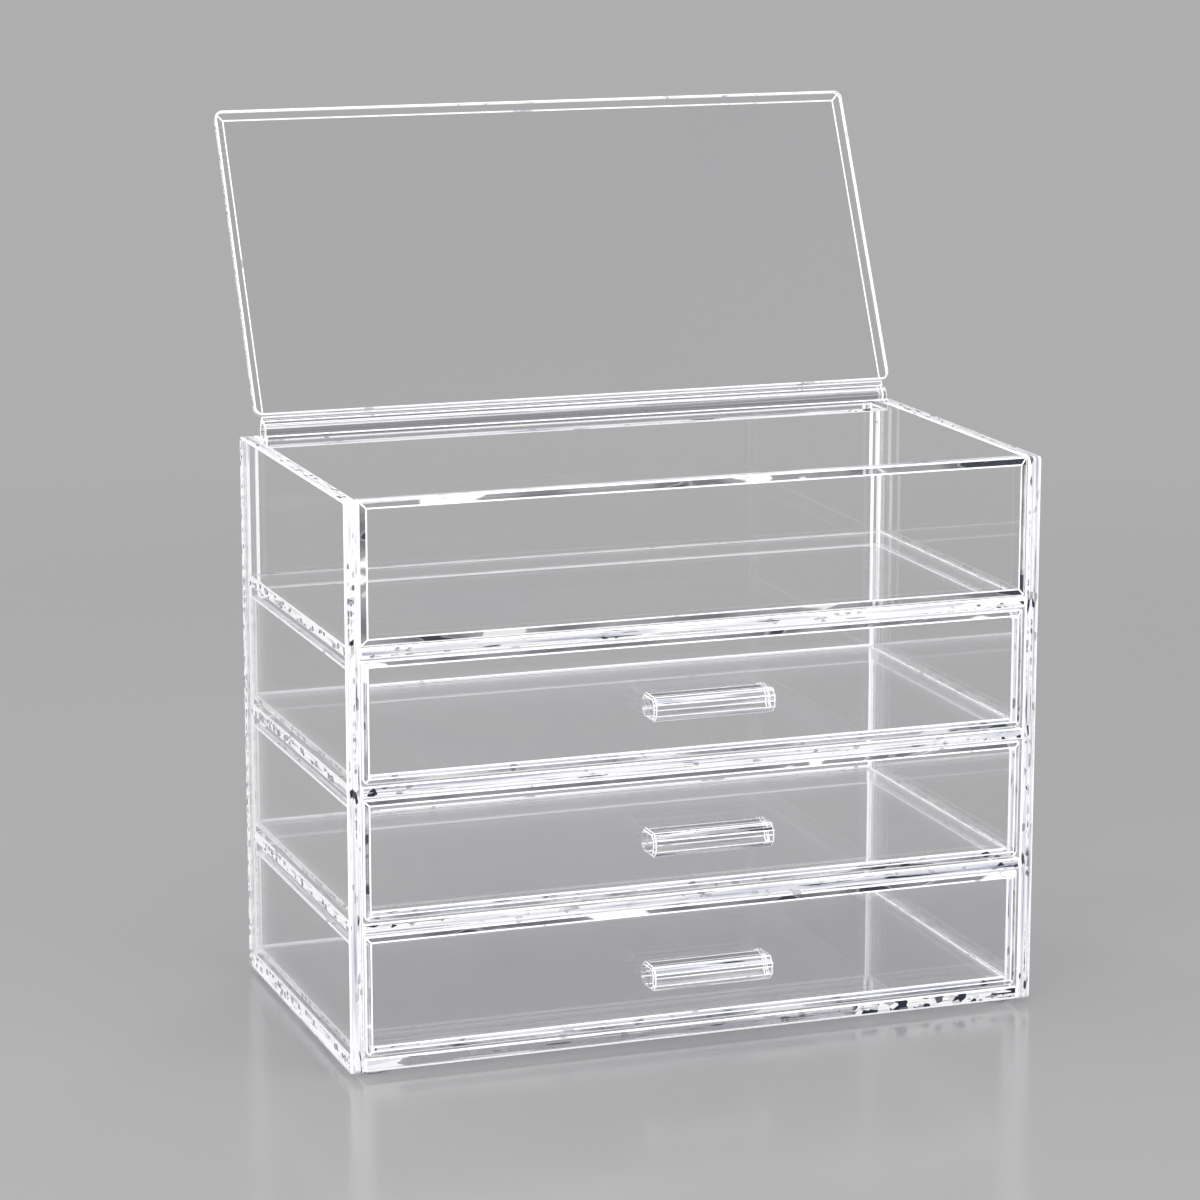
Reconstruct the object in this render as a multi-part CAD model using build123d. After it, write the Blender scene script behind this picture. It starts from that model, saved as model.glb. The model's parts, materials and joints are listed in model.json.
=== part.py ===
from build123d import *
import os

# A clear acrylic box for cotton pads: an open-topped tray above three drawers, under a
# hinged lid that is modelled tipped back past upright. Millimetres, +Z up, +X to the right
# of someone facing the drawers, -Y towards them. While the pieces are made, Y = 0 is the
# cabinet's front and Z = 0 the surface that the feet stand on; at the end everything moves
# along Y, so that the origin is the bottom centre of the whole object.

# ---- cabinet --------------------------------------------------------------------------
cabinet_width = 250.0        # outside the two side panels
cabinet_depth = 132.0        # front edges to back face
side_thickness = 5.0
back_thickness = 5.0
base_thickness = 5.0
shelf_thickness = 4.0        # tray floor and the two shelves
tray_depth = 49.0            # tray floor up to the side panels' top edges
tray_front_thickness = 5.0
bay_height = 43.0            # clear height of each drawer's bay
outer_corner_radius = 1.5    # side panels' four corners, and the base's long lower edges

# ---- feet -----------------------------------------------------------------------------
foot_diameter = 9.0          # where it is stuck on
foot_tread_diameter = 8.0    # where it stands
foot_height = 2.0
foot_inset_x = 10.0          # foot centre in from the cabinet's sides
foot_inset_y = 9.0           # foot centre in from its front and back

# ---- drawers, from the bottom up ------------------------------------------------------
drawer_names = ("lower", "middle", "upper")
drawer_front_thickness = 4.0
drawer_wall_thickness = 3.0
drawer_floor_thickness = 3.0
drawer_wall_drop = 3.0       # walls stand this much lower than the front
drawer_corner_radius = 2.5   # front's two lower corners and the side walls' lower edges
drawer_side_gap = 0.5        # between a drawer and the side panels
drawer_lift = 0.3            # between a drawer and what it slides on
drawer_top_gap = 0.7         # between a drawer's front and what is above it
drawer_back_gap = 0.4        # between a closed drawer and the back panel

# ---- handles --------------------------------------------------------------------------
handle_length = 44.0
handle_height = 8.5
handle_projection = 13.0     # out of the drawer's front
handle_chamfer = 2.2         # along its four long edges
handle_end_bevel = 0.7
handle_drop = 0.6            # handle centre below the front's middle

# ---- bevelled faces -------------------------------------------------------------------
tray_bevel_width = 2.6       # in from the panel's edge
tray_bevel_depth = 0.9       # down from its outer face
drawer_bevel_width = 2.0
drawer_bevel_depth = 0.8
lid_bevel_width = 3.2
lid_bevel_depth = 1.0

# ---- lid and its full-length snap hinge -----------------------------------------------
lid_thickness = 4.0
lid_side_setback = 3.5       # lid's edges in from the cabinet's outside
lid_front_setback = 3.0
lid_rest_gap = 0.3           # shut lid above the side panels
lid_corner_radius = 3.0
lid_open_angle = 116.0       # from shut to tipped back
rod_radius = 3.2
rod_running_gap = 0.06
rod_height = 3.0             # rod centre above the side panels' top edges
socket_wall = 1.5
socket_drop = 2.5            # socket strip's underside below the side panels' top edges
socket_end_gap = 1.0         # strip's and rod's ends to the side panels
neck_thickness = 1.6         # web between rod and lid
neck_side_gap = 0.2          # web to the socket's lips at the ends of its travel
lid_edge_gap = 0.44          # lid's rear edge to the socket's outside

# ---- levels and places that follow ----------------------------------------------------
base_bottom = foot_height
base_top = base_bottom + base_thickness
bay_pitch = bay_height + shelf_thickness
tray_floor_top = base_top + len(drawer_names) * bay_pitch
cabinet_top = tray_floor_top + tray_depth
inner_width = cabinet_width - 2 * side_thickness
back_face_inside = cabinet_depth - back_thickness
socket_bore_radius = rod_radius + rod_running_gap
socket_radius = socket_bore_radius + socket_wall
hinge_y = back_face_inside - socket_radius
hinge_z = cabinet_top + rod_height
hinge_length = inner_width - 2 * socket_end_gap
hinge_axis = Axis((0, hinge_y, hinge_z), (1, 0, 0))
neck_reach = socket_radius + lid_edge_gap
drawer_width = inner_width - 2 * drawer_side_gap
drawer_front_height = bay_height - drawer_lift - drawer_top_gap
drawer_wall_height = drawer_front_height - drawer_wall_drop
drawer_end = back_face_inside - drawer_back_gap


def slab(x_range, y_range, z_range):
    """A plain rectangular sheet between three pairs of limits."""
    size = [high - low for low, high in (x_range, y_range, z_range)]
    centre = [(high + low) / 2 for low, high in (x_range, y_range, z_range)]
    return Pos(*centre) * Box(*size)


def across(width):
    """The limits of something of this width, centred on the cabinet."""
    return (-width / 2, width / 2)


def side_panel(side):
    """A side panel with its four corners eased; side is -1 for left and 1 for right."""
    outer = side * cabinet_width / 2
    inner = side * inner_width / 2
    panel = slab(sorted((outer, inner)), (0, cabinet_depth), (base_bottom, cabinet_top))
    return fillet(panel.edges().filter_by(Axis.X), outer_corner_radius)


def base_panel():
    """The base between the side panels, its two long lower edges eased like their corners."""
    panel = slab(across(inner_width), (0, cabinet_depth), (base_bottom, base_top))
    lower_edges = panel.edges().filter_by(Axis.X).group_by(Axis.Z)[0]
    return fillet(lower_edges, outer_corner_radius)


def back_panel():
    """The back, standing on the base between the side panels, as high as they are."""
    y_range = (back_face_inside, cabinet_depth)
    return slab(across(inner_width), y_range, (base_top, cabinet_top))


def shelf(top):
    """A sheet across the inside, from the front edge to the back panel."""
    return slab(across(inner_width), (0, back_face_inside), (top - shelf_thickness, top))


def bevelled_plate(width, height, thickness, bevel_width, bevel_depth, square_top=False):
    """A plate lying on XY, its upper face bevelled all round, or on all but its +Y edge."""
    rim_height = thickness - bevel_depth
    top_inset = 0 if square_top else bevel_width
    rim = Rectangle(width, height)
    field = Rectangle(width - 2 * bevel_width, height - bevel_width - top_inset)
    field_shift = (bevel_width - top_inset) / 2
    sloped = loft([Pos(0, 0, rim_height) * rim, Pos(0, field_shift, thickness) * field])
    return extrude(rim, amount=rim_height) + sloped


def upright(plate, thickness, middle):
    """Stands a plate up, bevelled face forward and flush with the cabinet's front."""
    return Plane((0, thickness, middle), x_dir=(1, 0, 0), z_dir=(0, -1, 0)) * plate


def tray_front():
    """The fixed front of the tray, bevelled, standing on the tray floor."""
    plate = bevelled_plate(inner_width, tray_depth, tray_front_thickness,
                           tray_bevel_width, tray_bevel_depth)
    return upright(plate, tray_front_thickness, tray_floor_top + tray_depth / 2)


def foot(x_side, y_side):
    """One soft round foot, a little narrower where it stands."""
    x = x_side * (cabinet_width / 2 - foot_inset_x)
    y = cabinet_depth / 2 + y_side * (cabinet_depth / 2 - foot_inset_y)
    body = Cone(foot_tread_diameter / 2, foot_diameter / 2, foot_height)
    return Pos(x, y, foot_height / 2) * body


def hinge_section(shape):
    """Places a section drawn in the YZ plane about the hinge axis, and extrudes it."""
    section = Plane((0, hinge_y, hinge_z), x_dir=(0, 1, 0), z_dir=(1, 0, 0)) * shape
    return extrude(section, amount=hinge_length / 2, both=True)


def socket_strip():
    """A strip along the back panel's inner face that wraps more than half of the rod.

    Its mouth is what the neck sweeps: from straight forward, where the lid is shut, to
    the direction in which the open lid leans.
    """
    lip = neck_thickness / 2 + neck_side_gap
    lean = 180 - lid_open_angle
    reach = 3 * socket_radius
    block_height = rod_height + socket_drop
    block = Pos(0, -block_height / 2) * Rectangle(2 * socket_radius, block_height)
    back_lip = Vector(lip, 0).rotate(Axis.Z, lean - 90)
    beyond = back_lip + Vector(reach, 0).rotate(Axis.Z, lean)
    mouth = Polygon((0, -lip), (-reach, -lip), (-reach, reach), beyond, back_lip, align=None)
    section = Circle(socket_radius) + block - Circle(socket_bore_radius) - mouth
    return hinge_section(section)


def hinge_rod():
    """The rod that turns in the socket, with the neck that is bonded to the lid."""
    neck = Pos(-neck_reach / 2, 0) * Rectangle(neck_reach, neck_thickness)
    return hinge_section(Circle(rod_radius) + neck)


def lid_panel():
    """The lid, shut: round-cornered, bevelled above except along its rear edge."""
    front, rear = lid_front_setback, hinge_y - neck_reach
    width = cabinet_width - 2 * lid_side_setback
    length = rear - front
    plate = bevelled_plate(width, length, lid_thickness, lid_bevel_width, lid_bevel_depth,
                           square_top=True)
    outline = RectangleRounded(width, length, lid_corner_radius)
    plate = plate & extrude(outline, amount=lid_thickness)
    return Pos(0, (front + rear) / 2, cabinet_top + lid_rest_gap) * plate


def opened(piece):
    """Turns a piece of the shut lid back to where the open lid rests."""
    return piece.rotate(hinge_axis, -lid_open_angle)


def drawer_front(bottom):
    """A bevelled front with its two lower corners rounded."""
    plate = bevelled_plate(drawer_width, drawer_front_height, drawer_front_thickness,
                           drawer_bevel_width, drawer_bevel_depth)
    blank = extrude(Rectangle(drawer_width, drawer_front_height), drawer_front_thickness)
    lower_corners = blank.edges().filter_by(Axis.Z).group_by(Axis.Y)[0]
    plate = plate & fillet(lower_corners, drawer_corner_radius)
    return upright(plate, drawer_front_thickness, bottom + drawer_front_height / 2)


def drawer_side_wall(bottom, side):
    """A side wall with its lower outside edge rounded; side is -1 for left, 1 for right."""
    outer = side * drawer_width / 2
    inner = outer - side * drawer_wall_thickness
    wall = slab(sorted((outer, inner)), (drawer_front_thickness, drawer_end),
                (bottom, bottom + drawer_wall_height))
    lower_edges = wall.edges().filter_by(Axis.Y).group_by(Axis.Z)[0]
    outside_edge = lower_edges.sort_by(Axis.X)[0 if side < 0 else -1]
    return fillet(outside_edge, drawer_corner_radius)


def drawer_floor(bottom):
    """The floor between the side walls, from the front to the drawer's end."""
    width = drawer_width - 2 * drawer_wall_thickness
    return slab(across(width), (drawer_front_thickness, drawer_end),
                (bottom, bottom + drawer_floor_thickness))


def drawer_back_wall(bottom):
    """The back wall, standing on the floor between the side walls."""
    width = drawer_width - 2 * drawer_wall_thickness
    return slab(across(width), (drawer_end - drawer_wall_thickness, drawer_end),
                (bottom + drawer_floor_thickness, bottom + drawer_wall_height))


def drawer_handle(bottom):
    """An eight-sided bar bonded flat to the drawer's front."""
    middle = bottom + drawer_front_height / 2 - handle_drop
    bar = slab(across(handle_length), (-handle_projection, 0),
               (middle - handle_height / 2, middle + handle_height / 2))
    bar = chamfer(bar.edges().filter_by(Axis.X), handle_chamfer)
    ends = bar.faces().filter_by(Axis.X)
    return chamfer(ends.edges(), handle_end_bevel)


def drawer_pieces(name, bay_floor):
    """The six pieces of one drawer, as node names and solids."""
    bottom = bay_floor + drawer_lift
    return {
        f"{name}_drawer_front": drawer_front(bottom),
        f"{name}_drawer_left_wall": drawer_side_wall(bottom, -1),
        f"{name}_drawer_right_wall": drawer_side_wall(bottom, 1),
        f"{name}_drawer_back_wall": drawer_back_wall(bottom),
        f"{name}_drawer_floor": drawer_floor(bottom),
        f"{name}_drawer_handle": drawer_handle(bottom),
    }


def all_pieces():
    """Every node of the object, in place while Y = 0 is the cabinet's front."""
    pieces = {
        "left_side_panel": side_panel(-1),
        "right_side_panel": side_panel(1),
        "base_panel": base_panel(),
        "back_panel": back_panel(),
        "lower_shelf": shelf(base_top + bay_pitch),
        "upper_shelf": shelf(base_top + 2 * bay_pitch),
        "tray_floor": shelf(tray_floor_top),
        "tray_front_panel": tray_front(),
        "hinge_socket_strip": socket_strip(),
        "lid_panel": opened(lid_panel()),
        "lid_hinge_rod": opened(hinge_rod()),
    }
    for y_name, y_side in (("front", -1), ("back", 1)):
        for x_name, x_side in (("left", -1), ("right", 1)):
            pieces[f"{y_name}_{x_name}_foot"] = foot(x_side, y_side)
    for index, name in enumerate(drawer_names):
        pieces.update(drawer_pieces(name, base_top + index * bay_pitch))
    return pieces


def write_pieces():
    """Centres the object on its overall depth and writes one file for each piece."""
    pieces = all_pieces()
    boxes = [solid.bounding_box() for solid in pieces.values()]
    y_centre = (min(box.min.Y for box in boxes) + max(box.max.Y for box in boxes)) / 2
    os.makedirs("parts", exist_ok=True)
    for name, solid in pieces.items():
        export_step(Pos(0, -y_centre, 0) * solid, f"parts/{name}.step")
    print(f"cabinet front at Y = {-y_centre:.4f}")
    print(f"hinge axis at Y = {hinge_y - y_centre:.4f}, Z = {hinge_z:.4f}")


write_pieces()
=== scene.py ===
"""Finishes for a clear acrylic drawer box: sheets, bevelled fronts, lid, hinge and feet."""

import json
import math

import bmesh
import bpy
from bpy.props import FloatProperty, FloatVectorProperty, IntProperty, PointerProperty
from mathutils import Matrix, Vector

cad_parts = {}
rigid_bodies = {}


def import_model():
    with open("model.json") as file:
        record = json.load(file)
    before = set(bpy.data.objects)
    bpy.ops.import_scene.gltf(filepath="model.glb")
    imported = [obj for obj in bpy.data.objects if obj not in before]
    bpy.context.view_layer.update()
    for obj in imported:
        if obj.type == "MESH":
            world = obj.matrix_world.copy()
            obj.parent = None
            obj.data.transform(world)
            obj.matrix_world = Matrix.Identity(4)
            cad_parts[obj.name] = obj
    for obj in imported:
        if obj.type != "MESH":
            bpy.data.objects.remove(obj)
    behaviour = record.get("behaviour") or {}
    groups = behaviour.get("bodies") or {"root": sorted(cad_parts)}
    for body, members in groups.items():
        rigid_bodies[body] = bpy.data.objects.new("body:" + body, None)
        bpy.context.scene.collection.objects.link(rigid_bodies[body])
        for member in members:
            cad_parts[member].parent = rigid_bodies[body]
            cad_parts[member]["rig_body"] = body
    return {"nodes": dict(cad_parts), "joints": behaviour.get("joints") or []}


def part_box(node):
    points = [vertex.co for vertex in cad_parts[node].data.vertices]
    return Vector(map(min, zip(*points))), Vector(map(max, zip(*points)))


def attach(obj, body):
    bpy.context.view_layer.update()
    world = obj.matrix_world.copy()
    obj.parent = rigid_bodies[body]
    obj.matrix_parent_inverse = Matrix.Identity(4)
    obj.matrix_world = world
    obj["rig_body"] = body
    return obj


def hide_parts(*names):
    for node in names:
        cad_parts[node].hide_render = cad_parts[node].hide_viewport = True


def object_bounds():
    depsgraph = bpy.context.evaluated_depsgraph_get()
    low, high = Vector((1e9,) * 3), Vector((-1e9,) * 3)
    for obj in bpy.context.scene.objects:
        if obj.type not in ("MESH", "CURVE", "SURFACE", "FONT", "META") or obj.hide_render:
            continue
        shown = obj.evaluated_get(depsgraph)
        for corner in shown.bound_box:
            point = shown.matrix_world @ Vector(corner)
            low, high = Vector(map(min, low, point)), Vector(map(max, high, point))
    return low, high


bl_info = {
    "name": "Clear Drawer Box",
    "version": (1, 0, 0),
    "blender": (4, 5, 0),
    "location": "3D View > Sidebar > Drawer Box",
    "description": "Builds the polished pieces of a clear drawer box and a stage to show it on",
    "category": "Add Mesh",
}

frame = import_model()
cad_low, cad_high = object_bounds()

MM = 0.001
X, Y, Z = 0, 1, 2
FACE, CUT, EASED, END = 0, 1, 2, 3      # material slots of a sheet
BEVEL = 3                               # a bevelled plate's fourth slot, as it has no ends
DRAWERS = ("lower", "middle", "upper")
HINGE = next(joint for joint in frame["joints"] if joint["name"] == "lid_hinge")
HINGE_CENTRE = Vector(HINGE["pos_m"])
SHUT_TURN = math.radians(HINGE["range_deg"][1])   # from the open rest pose to shut
SLIGHT_TURN = math.radians(14)    # more than a step of a rounded corner turns
SQUARE_TURN = math.radians(60)    # less than a square edge turns
SQUARE = 0.99        # least share of one axis in the direction of a square face or edge
BROAD = 0.8          # least share of a sheet's thickness in the normal of a broad face
LEANING = 0.3        # least share of an axis in the normal of a face that leans to it
ALL_SIDES = ((-1, 0), (1, 0), (0, -1), (0, 1))


def length(name, description, default):
    """A length property, in metres."""
    return FloatProperty(name=name, description=description, default=default, min=0.0,
                         precision=5, unit="LENGTH")


def share(name, description, default):
    """A property from 0 to 1."""
    return FloatProperty(name=name, description=description, default=default, min=0.0,
                         max=1.0, subtype="FACTOR")


def colour(name, description, default):
    """An opaque colour property."""
    return FloatVectorProperty(name=name, description=description, default=(*default, 1.0),
                               size=4, min=0.0, max=1.0, subtype="COLOR")


def angle(name, description, degrees):
    """An angle property with its default in degrees."""
    return FloatProperty(name=name, description=description,
                         default=math.radians(degrees), subtype="ANGLE")


# ---- settings -------------------------------------------------------------------------
class EdgeSettings(bpy.types.PropertyGroup):
    joint_gap: length("Joint gap", "Air left around each piece at its joints", 0.03 * MM)
    eased_width: length("Eased width", "Width of the eased edge of a sheet", 0.55 * MM)
    crease_width: length("Crease width", "Width of the eased crease of a bevel", 0.28 * MM)
    eased_segments: IntProperty(name="Eased segments", description="Steps across it",
                                default=2, min=1)
    round_segments: IntProperty(name="Round segments", description="Steps round a corner",
                                default=10, min=3)


class PanelSettings(bpy.types.PropertyGroup):
    cabinet_radius: length("Cabinet radius", "Side panels' corners", 1.5 * MM)
    drawer_radius: length("Drawer radius", "Drawers' lower corners", 2.5 * MM)
    tray_bevel_width: length("Tray bevel width", "In from the tray front's edge", 2.6 * MM)
    tray_bevel_depth: length("Tray bevel depth", "Down from its outer face", 0.9 * MM)
    drawer_bevel_width: length("Drawer bevel width", "In from a front's edge", 2.0 * MM)
    drawer_bevel_depth: length("Drawer bevel depth", "Down from its outer face", 0.8 * MM)
    lid_radius: length("Lid radius", "Lid's four corners", 3.0 * MM)
    lid_bevel_width: length("Lid bevel width", "In from the lid's edge", 3.2 * MM)
    lid_bevel_depth: length("Lid bevel depth", "Down from its outer face", 1.0 * MM)


class HandleSettings(bpy.types.PropertyGroup):
    chamfer: length("Chamfer", "Along the bar's four long edges", 2.2 * MM)
    end_bevel: length("End bevel", "Round the bar's ends", 0.7 * MM)
    eased_width: length("Eased width", "Width of the bar's eased edges", 0.24 * MM)


class HingeSettings(bpy.types.PropertyGroup):
    rod_radius: length("Rod radius", "Rod that turns in the strip", 3.2 * MM)
    bore_gap: length("Bore gap", "Between the rod and its bore", 0.06 * MM)
    socket_wall: length("Socket wall", "Strip's wall round the bore", 1.5 * MM)
    neck_thickness: length("Neck thickness", "Web from the rod to the lid", 1.6 * MM)
    neck_gap: length("Neck gap", "Web to the strip's lips", 0.2 * MM)
    eased_width: length("Eased width", "Width of the bars' eased edges", 0.42 * MM)
    lit_height: length("Lit height", "Light-filled foot of the strip's front", 1.3 * MM)
    arc_steps: IntProperty(name="Arc steps", description="Steps of a full turn", default=80,
                           min=8)


class FootSettings(bpy.types.PropertyGroup):
    tread_radius: length("Tread radius", "Where a foot stands", 4.0 * MM)
    tread_rounding: length("Tread rounding", "Round its lower rim", 0.7 * MM)
    rim_rounding: length("Rim rounding", "Round its upper rim", 0.15 * MM)
    steps: IntProperty(name="Steps", description="Sides of a foot", default=64, min=12)
    rim_segments: IntProperty(name="Rim segments", description="Steps over a rim", default=5,
                              min=1)


# The acrylic's own tint, index and ripple and the feet's colours, with the painted light and
# shade of its edges, bevels and bars.
class FinishSettings(bpy.types.PropertyGroup):
    clear_tint: colour("Clear tint", "Colour of the acrylic", (0.994, 0.994, 0.996))
    smudge: colour("Smudge", "Tint of a smudge on a pane", (0.97, 0.975, 0.985))
    # Painted shade: these tints darken what is seen through clear streaks, bars and bevels,
    # standing in for dark refraction.
    haze: colour("Haze", "Tint of a handle's clear streaks", (0.74, 0.74, 0.76))
    smoke: colour("Smoke", "Tint of a clear streak", (0.66, 0.66, 0.69))
    dusk: colour("Dusk", "Darkest tint of a front's bevel", (0.20, 0.20, 0.23))
    # Painted light: the white that stands in for light filling a polished edge, joint or eased
    # line.
    milk: colour("Milk", "Colour of a light-filled edge", (0.985, 0.985, 0.995))
    # Painted reflections and shade: pearl and lavender streaks and peach glints stand for
    # reflected light, navy flecks and dashes for dark refraction.
    pearl: colour("Pearl", "Soft streaks in an edge", (0.74, 0.75, 0.81))
    lavender: colour("Lavender", "Cool streaks in an edge", (0.42, 0.43, 0.53))
    navy: colour("Navy", "Dark flecks in an edge", (0.018, 0.022, 0.042))
    peach: colour("Peach", "Warm streaks in an edge", (0.88, 0.75, 0.66))
    silicone: colour("Silicone", "Colour of the feet", (0.92, 0.92, 0.92))
    silicone_cloud: colour("Silicone cloud", "Paler clouds in them", (0.98, 0.98, 0.98))
    index: FloatProperty(name="Refractive index", description="Of acrylic", default=1.49)
    streak_width: length("Streak width", "Streaks in a cut edge", 1.2 * MM)
    dash_width: length("Dash width", "Dark dashes in a cut edge", 0.7 * MM)
    facet_size: length("Facet size", "Small facets in a cut edge", 1.1 * MM)
    region_size: length("Region size", "Regions of many or few flecks", 17 * MM)
    bubble_spacing: length("Bubble spacing", "Between bubbles in cement", 2.3 * MM)
    patch_size: length("Patch size", "White and navy patches in a front's bevel", 8 * MM)
    ripple: length("Ripple", "Depth of the ripple in a cut edge", 0.03 * MM)
    face_wave: length("Face wave", "Depth of the wave in a sheet's face", 0.006 * MM)
    cement_margin: length("Cement margin", "Light-filled strip beside a corner joint", 4.4 * MM)
    margin_line: length("Margin line", "Width of the strip's two bright lines", 1.2 * MM)
    # Painted glow: emission that makes edges, eased lines and joints shine though they are no
    # lamps.
    edge_glow: share("Edge glow", "Light from inside the sheet that leaves at its edge", 0.16)
    line_glow: share("Line glow", "Light from inside that leaves at an eased line", 0.42)
    joint_glow: share("Joint glow", "Light from inside that leaves at a joint", 0.60)


class StageSettings(bpy.types.PropertyGroup):
    floor_colour: colour("Floor colour", "Colour of the floor", (0.44, 0.44, 0.445))
    floor_cloud: colour("Floor cloud", "Paler clouds on the floor", (0.50, 0.50, 0.505))
    floor_radius: length("Floor radius", "Of the floor's disc", 2.0)
    fade_start: length("Fade start", "Where the floor starts to fade", 0.38)
    fade_end: length("Fade end", "Where the floor has faded away", 1.15)
    backdrop_colour: colour("Backdrop colour", "What is seen beyond it", (0.425, 0.425, 0.43))
    ceiling_colour: colour("Ceiling colour", "What gloss sees overhead", (0.10, 0.10, 0.11))
    fill_level: FloatProperty(name="Fill level", description="Light from all around",
                              default=0.24, min=0.0)
    lens: FloatProperty(name="Lens", description="Focal length in mm", default=121.9)
    azimuth: angle("Azimuth", "Camera round the box", -19.71)
    elevation: angle("Elevation", "Camera above the horizon", 12.23)
    distance: length("Distance", "Camera to its target", 1353.8 * MM)
    target_x: FloatProperty(name="Target X", description="Target beside the box's middle",
                            default=-36.66 * MM, unit="LENGTH")
    target_z: length("Target height", "Target above the floor", 158.16 * MM)


class BoxSettings(bpy.types.PropertyGroup):
    edge: PointerProperty(type=EdgeSettings)
    panel: PointerProperty(type=PanelSettings)
    handle: PointerProperty(type=HandleSettings)
    hinge: PointerProperty(type=HingeSettings)
    foot: PointerProperty(type=FootSettings)
    finish: PointerProperty(type=FinishSettings)
    stage: PointerProperty(type=StageSettings)


def settings():
    """The settings of the scene at hand."""
    return bpy.context.scene.drawer_box


# ---- shader trees ---------------------------------------------------------------------
class Wire:
    """A shader socket. An expression on wires adds its Math nodes. | takes the larger."""

    def __init__(self, tree, socket):
        self.tree = tree
        self.socket = socket

    def maths(self, operation, *values):
        return self.tree.node("ShaderNodeMath", {"operation": operation},
                              dict(enumerate(values)))

    def __abs__(self):
        return self.maths("ABSOLUTE", self)

    def __add__(self, other):
        return self.maths("ADD", self, other)

    def __sub__(self, other):
        return self.maths("SUBTRACT", self, other)

    def __rsub__(self, other):
        return self.maths("SUBTRACT", other, self)

    def __mul__(self, other):
        return self.maths("MULTIPLY", self, other)

    def __or__(self, other):
        return self.maths("MAXIMUM", self, other)

    __radd__ = __add__
    __rmul__ = __mul__
    __ror__ = __or__


class ShaderTree:
    """The emptied node tree of a material or a world."""

    def __init__(self, owner):
        owner.use_nodes = True
        self.tree = owner.node_tree
        self.tree.nodes.clear()

    def node(self, kind, options=None, inputs=None, output=0):
        """Adds a node, sets its options and then its sockets, and returns one output."""
        made = self.tree.nodes.new(kind)
        for name, value in (options or {}).items():
            if name == "stops":
                fill_ramp(made.color_ramp, value)
            else:
                setattr(made, name, value)
        for name, value in (inputs or {}).items():
            if isinstance(value, Wire):
                self.tree.links.new(value.socket, made.inputs[name])
            else:
                made.inputs[name].default_value = value
        return Wire(self, made.outputs[output]) if made.outputs else None

    def place(self, stretch=(1, 1, 1), turn=0.0):
        """Object coordinates, turned about X and stretched."""
        place = self.node("ShaderNodeTexCoord", output="Object")
        return self.node("ShaderNodeMapping", None,
                         {"Vector": place, "Rotation": (turn, 0, 0), "Scale": stretch})

    def along(self, axis):
        """One of the object coordinates."""
        place = self.node("ShaderNodeTexCoord", output="Object")
        return self.node("ShaderNodeSeparateXYZ", None, {"Vector": place}, output=axis)

    def noise(self, place, size, detail=2.0, distortion=0.0):
        """Noise whose patches are about this size in metres."""
        return self.node("ShaderNodeTexNoise", None,
                         {"Vector": place, "Scale": 1 / size, "Detail": detail,
                          "Distortion": distortion})

    def cells(self, place, size):
        """One random value from 0 to 1 in each cell of about this size in metres."""
        shade = self.node("ShaderNodeTexVoronoi", None, {"Vector": place, "Scale": 1 / size},
                          output="Color")
        return self.node("ShaderNodeSeparateColor", None, {"Color": shade}, output="Red")

    def dots(self, place, size):
        """The distance to the nearest of scattered points, in shares of this spacing."""
        return self.node("ShaderNodeTexVoronoi", None, {"Vector": place, "Scale": 1 / size},
                         output="Distance")

    def fade(self, value, low, high, start=0.0, end=1.0):
        """Value carried smoothly from low..high to start..end."""
        return self.node("ShaderNodeMapRange", {"interpolation_type": "SMOOTHSTEP"},
                         {"Value": value, "From Min": low, "From Max": high,
                          "To Min": start, "To Max": end})

    def blend(self, factor, first, second):
        """Two colours mixed."""
        return self.node("ShaderNodeMix", {"data_type": "RGBA"},
                         {0: factor, 6: first, 7: second}, output=2)

    def bump(self, height, depth):
        """The normal of a surface raised by height times a depth in metres."""
        return self.node("ShaderNodeBump", None,
                         {"Height": height, "Distance": depth, "Strength": 1.0})


def fill_ramp(ramp, stops):
    """Gives a colour ramp these (position, colour) stops."""
    while len(ramp.elements) > 1:
        ramp.elements.remove(ramp.elements[-1])
    ramp.elements[0].position, ramp.elements[0].color = stops[0]
    for position, shade in stops[1:]:
        ramp.elements.new(position).color = shade


def new_finish(name):
    """The finish settings, and an emptied tree for a material of this name."""
    return settings().finish, ShaderTree(bpy.data.materials.new(name))


def acrylic(tree, base, roughness, normal):
    """Clear polished acrylic."""
    return tree.node("ShaderNodeBsdfPrincipled", None,
                     {"Base Color": base, "Roughness": roughness, "Normal": normal,
                      "IOR": settings().finish.index, "Transmission Weight": 1.0})


def let_lamps_through(tree, surface, shadow):
    """Ends a material. Light to or from a matt surface goes straight through, tinted."""
    lamp = tree.node("ShaderNodeLightPath", output="Is Shadow Ray")
    matt = tree.node("ShaderNodeLightPath", output="Is Diffuse Ray")
    through = tree.node("ShaderNodeBsdfTransparent", None, {"Color": (*shadow, 1.0)})
    mixed = tree.node("ShaderNodeMixShader", None, {0: lamp | matt, 1: surface, 2: through})
    tree.node("ShaderNodeOutputMaterial", None, {"Surface": mixed})


def sheet_face():
    """The flat faces of a sheet: clear, with a slight wave and faint smudges."""
    finish, tree = new_finish("sheet_face")
    place = tree.place()
    smudge = tree.fade(tree.noise(place, 45 * MM, 4.0, 0.6), 0.52, 0.72)
    grain = tree.noise(place, 1.2 * MM, 2.0)
    roughness = 0.004 + smudge * grain * 0.05
    base = tree.blend(smudge * 0.6, finish.clear_tint, finish.smudge)
    wave = tree.bump(tree.noise(place, 38 * MM, 1.0), finish.face_wave)
    let_lamps_through(tree, acrylic(tree, base, roughness, wave), (0.965, 0.965, 0.968))


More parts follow.
